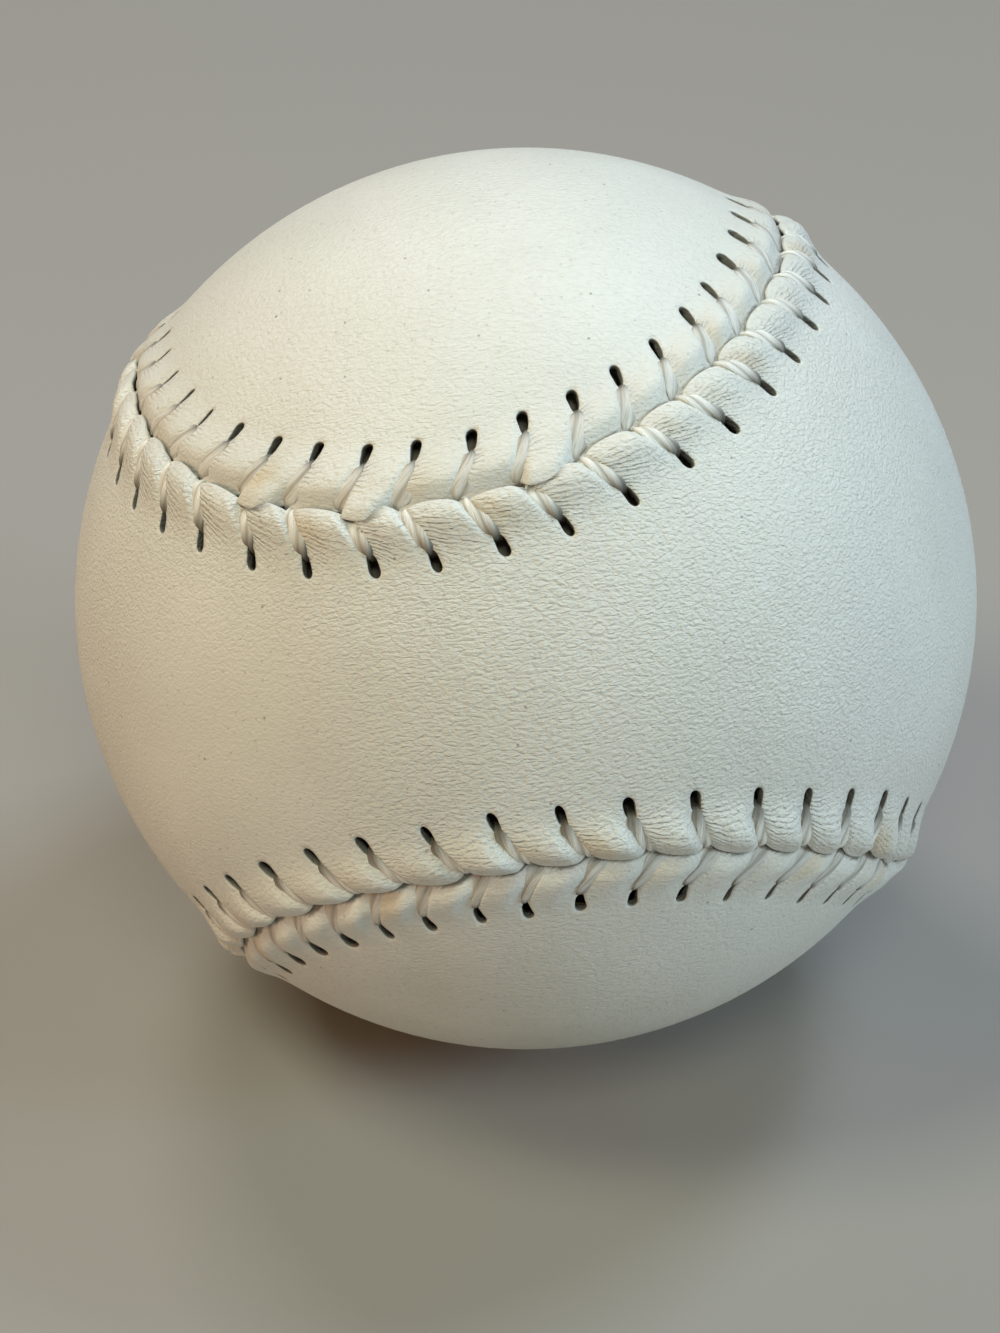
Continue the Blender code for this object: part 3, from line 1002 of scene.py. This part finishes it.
# The length in which the plies turn once, how straight the thread is drawn, from 0, as the leather leans,
# to 1, and the reach between which it lies on the leather and leaves it at both ends
TWIST = {PANEL_A: 10.0, PANEL_B: 18.0}
TAUT = {PANEL_A: 0.3, PANEL_B: 1.0}
LIES_FROM = 4.2
LIES_TO = 0.3
OUT_OF_HOLE = (5.0, LIES_FROM)
INTO_SEAM = (-1.2, -0.2)

# The lowest leather that it follows, how it is pressed down and darkened with painted shade under a lip, how
# much darker it is on panel b on each half of the seam, and a small step along the seam in stitches
LOWEST_LEATHER = -0.5
LIP_PRESS = 0.6
LIP_PRESSES = (2.0, 0.8)
LIP_DARKENS = (1.5, 0.9)
THREAD_DARKENING = (0.02, 0.32)
ALONG_STEP = 0.02


def needle_way(first_side):
    """One needle's run: points, the seam's direction at each, and half width, half depth, darkness and twist.
    The leg's rows are sampled evenly, and it lies on the leather's own height, or lower under a lip."""
    runs = []
    for side in (first_side, -first_side):
        rows = np.arange(len(LEG[side]))
        at = np.linspace(0, rows[-1], LEG_SAMPLES)
        leg = np.stack([np.interp(at, rows, column) for column in LEG[side].T], axis=-1)
        place = np.repeat(np.arange(STITCHES, dtype=float)[:, None], LEG_SAMPLES, axis=1)
        reach = np.broadcast_to(leg[:, 0], place.shape)
        slope = (lean(side, LIES_TO) - lean(side, LIES_FROM)) / (LIES_FROM - LIES_TO)
        straight = lean(side, LIES_FROM) + slope * (LIES_FROM - reach)
        lies = ease(*INTO_SEAM, reach) * ease(*OUT_OF_HOLE, reach)
        place = place + TAUT[side] * (straight - lean(side, reach)) * lies
        height = leg[:, 1] + np.maximum(lobe_height(side, place, reach), LOWEST_LEATHER)
        shape = np.empty((*place.shape, 4))
        shape[..., :3] = leg[:, 2:]
        shape[..., 3] = TWIST[side]
        # Under a lip the thread is darkened with painted shade; on panel b it is a little darker, most on the
        # half pulled backwards
        if side == PANEL_A:
            under_lip = np.roll(on_top, 1)[:, None]
            height = height - LIP_PRESS * under_lip * ease(*LIP_PRESSES, reach)
            dirt_and_shade = under_lip * ease(*LIP_DARKENS, reach)
        else:
            _, _, way = on_lobe(place)
            dirt_and_shade = by_half(way, THREAD_DARKENING)
        shape[..., 2] = np.maximum(shape[..., 2], dirt_and_shade)
        points = sewn_point(side, place, reach, height)
        beside = sewn_point(side, place + ALONG_STEP, reach, height)
        runs.append((points, beside - points, shape))
    even = (np.arange(STITCHES) % 2 == 0)[:, None, None]
    return [np.where(even, one, other).reshape(-1, one.shape[-1]) for one, other in zip(*runs)]


def seam_thread():
    """A flattened round of three plies swept along both needles' ways: its radius swells three times round,
    and the swelling turns once every few millimetres."""
    ways = [needle_way(PANEL_A), needle_way(PANEL_B)]
    points, along, shape = [np.concatenate([one[::-1], other]) for one, other in zip(*ways)]
    for _ in range(2):
        points[1:-1] = (points[:-2] + 2 * points[1:-1] + points[2:]) / 4
    ahead = unit(np.gradient(points, axis=0))
    wide = unit(along - (along * ahead).sum(axis=1, keepdims=True) * ahead)
    deep = np.cross(ahead, wide)
    run = np.append(0, np.cumsum(np.linalg.norm(np.diff(points, axis=0), axis=1)))
    angle = np.linspace(0, math.tau, AROUND, endpoint=False)
    turned = np.cumsum(np.gradient(run) * math.tau / shape[:, 3])
    on_thread = angle - turned[:, None]
    swell = 1 + PLY_SWELL * np.cos(PLIES * on_thread)
    ring = (
        points[:, None]
        + wide[:, None] * (shape[:, :1] * np.cos(angle) * swell)[..., None]
        + deep[:, None] * (shape[:, 1:2] * np.sin(angle) * swell)[..., None]
    )
    ids = np.arange(ring.size // 3).reshape(ring.shape[:2])
    faces = [between_rows(ids[:-1], ids[1:]).reshape(-1, 4)]
    half = np.arange(AROUND // 2 - 1)
    for end, order in ((ids[0], -1), (ids[-1], 1)):
        cap = np.stack([end[half], end[half + 1], end[-2 - half], end[-1 - half]], axis=-1)
        faces.append(cap[:, ::order])
    # Painted shade in the grooves between the plies, and the leg's darkness at the holes, the seam and the
    # lips
    groove = 0.5 - 0.5 * np.cos(PLIES * on_thread)
    dark = np.broadcast_to(shape[:, 2:3], groove.shape)
    shade_and_dirt = np.stack([groove, dark, np.zeros_like(groove)], axis=-1)
    along_thread = np.broadcast_to(run[:, None], groove.shape)
    fibre = np.stack([np.cos(on_thread), np.sin(on_thread), along_thread], axis=-1)
    marks = {"shade_and_dirt": shade_and_dirt.reshape(-1, 3), "fibre": fibre.reshape(-1, 3)}
    return ring.reshape(-1, 3), np.concatenate(faces), marks


def waxed_cotton():
    """Waxed cotton: cream, with painted shade in the grooves between the plies, darker where it goes down the
    holes and the seam and under a lip, partly dirt and partly painted shade, and with fibres. These are drawn
    2.5 mm long and about a thirtieth of the way round, coarser than real ones, to show."""
    material, tree = new_material("waxed_cotton")
    shade_and_dirt = add(tree, "ShaderNodeAttribute", attribute_name="shade_and_dirt")
    groove, dark, _ = add(tree, "ShaderNodeSeparateXYZ", links={"Vector": shade_and_dirt.outputs["Vector"]}).outputs
    fibre = add(tree, "ShaderNodeAttribute", attribute_name="fibre")
    stretch = add(
        tree, "ShaderNodeMapping", {"Scale": (5.0, 5.0, 1 / 2.5)}, {"Vector": fibre.outputs["Vector"]}
    )
    hair = add(
        tree, "ShaderNodeTexNoise", {"Scale": 1.0, "Detail": 3.0}, {"Vector": stretch.outputs["Vector"]}
    )
    cream = add(tree, "ShaderNodeValToRGB", links={"Fac": hair.outputs["Fac"]})
    cream.color_ramp.elements[0].position = 0.32
    cream.color_ramp.elements[0].color = linear("#DDD8C9")
    cream.color_ramp.elements[1].position = 0.5
    cream.color_ramp.elements[1].color = linear("#FFFEF8")
    # The grooves between the plies get painted shade
    line = add(tree, "ShaderNodeMath", {1: 3.0}, {0: groove}, operation="POWER")
    shade = add(tree, "ShaderNodeMath", {1: 0.55}, {0: line.outputs["Value"]}, operation="MULTIPLY")
    plied = add(
        tree,
        "ShaderNodeMix",
        {"B": linear("#8F866E")},
        {"Factor": shade.outputs["Value"], "A": cream.outputs["Color"]},
        data_type="RGBA",
    )
    # Darker where it goes down the holes and the seam and under a lip: painted shade, with some dirt
    shaded_and_dirty = add(
        tree,
        "ShaderNodeMix",
        {"B": linear("#565146")},
        {"Factor": dark, "A": plied.outputs["Result"]},
        data_type="RGBA",
    )
    bump = add(
        tree, "ShaderNodeBump", {"Strength": 1.0, "Distance": 0.12 * MM}, {"Height": hair.outputs["Fac"]}
    )
    surface(tree, roughness=0.6, ior=1.5, colour=shaded_and_dirty.outputs["Result"], normal=bump.outputs["Normal"])
    return material


thread = mesh_object("waxed_thread", *seam_thread())
thread.data.materials.append(waxed_cotton())
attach(thread, "root")
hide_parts("seam_thread")


# The floor, the light and the camera
# A pale matt table under the ball, six soft lamps round it, cooler on the right and warmer on the left, and
# the camera where the photograph was taken from.
FLOOR_HALF = 3.0
FLOOR_HEIGHT = -RADIUS * MM
floor_mesh = bpy.data.meshes.new("floor")
floor_mesh.from_pydata(
    [(x * FLOOR_HALF, y * FLOOR_HALF, FLOOR_HEIGHT) for x, y in ((-1, -1), (1, -1), (1, 1), (-1, 1))],
    [],
    [(0, 1, 2, 3)],
)
floor = bpy.data.objects.new("floor", floor_mesh)
bpy.context.scene.collection.objects.link(floor)
floor_material, floor_tree = new_material("pale_table")
floor_shader = add(
    floor_tree, "ShaderNodeBsdfPrincipled", {"Base Color": linear("#A39F99"), "Roughness": 0.7}
)
add(floor_tree, "ShaderNodeOutputMaterial", links={"Surface": floor_shader.outputs["BSDF"]})
floor_mesh.materials.append(floor_material)

world = bpy.data.worlds.new("soft_room")
world.use_nodes = True
world.node_tree.nodes["Background"].inputs["Color"].default_value = linear("#F4F2EE")
world.node_tree.nodes["Background"].inputs["Strength"].default_value = 0.05
bpy.context.scene.world = world

# Each lamp's colour, power in watts and place in metres, all of one size and aimed at the ball's centre
LAMP_SIZE = 0.25
for name, colour, power, lamp_place in (
    ("cool_window", "#DAEAFF", 2.85, (0.35, 0.25, 0.8)),
    ("warm_lamp", "#FDFFE0", 2.45, (-0.4, -0.2, 0.75)),
    ("warm_side", "#FFAF62", 1.25, (-0.75, -0.3, 0.2)),
    ("cool_side", "#D8F0FF", 2.75, (0.75, -0.25, 0.3)),
    ("back_lamp", "#FFFAFA", 2.15, (-0.25, 0.45, 0.75)),
    ("front_lamp", "#F8FFF2", 1.8, (0.05, -0.62, 0.75)),
):
    lamp = bpy.data.lights.new(name, "AREA")
    lamp.color = linear(colour)[:3]
    lamp.energy = power
    lamp.size = LAMP_SIZE
    lamp_body = bpy.data.objects.new(name, lamp)
    lamp_body.location = lamp_place
    lamp_body.rotation_euler = (-Vector(lamp_place)).to_track_quat("-Z", "Y").to_euler()
    bpy.context.scene.collection.objects.link(lamp_body)

# The camera's place in mm, its tilt, and its focal length in pixels of the photograph
CAMERA_PLACE = np.array([-2.76, -323.92, 217.94])
CAMERA_TILT = math.radians(55)
FOCAL_PIXELS = 3600
PHOTO_HEIGHT = 1333
camera_data = bpy.data.cameras.new("photo_camera")
camera_data.sensor_fit = "VERTICAL"
camera_data.sensor_height = 36.0
camera_data.lens = camera_data.sensor_height * FOCAL_PIXELS / PHOTO_HEIGHT
camera = bpy.data.objects.new("photo_camera", camera_data)
camera.location = CAMERA_PLACE * MM
camera.rotation_euler = (CAMERA_TILT, 0, 0)
bpy.context.scene.collection.objects.link(camera)
bpy.context.scene.camera = camera
bpy.context.scene.view_settings.view_transform = "Standard"
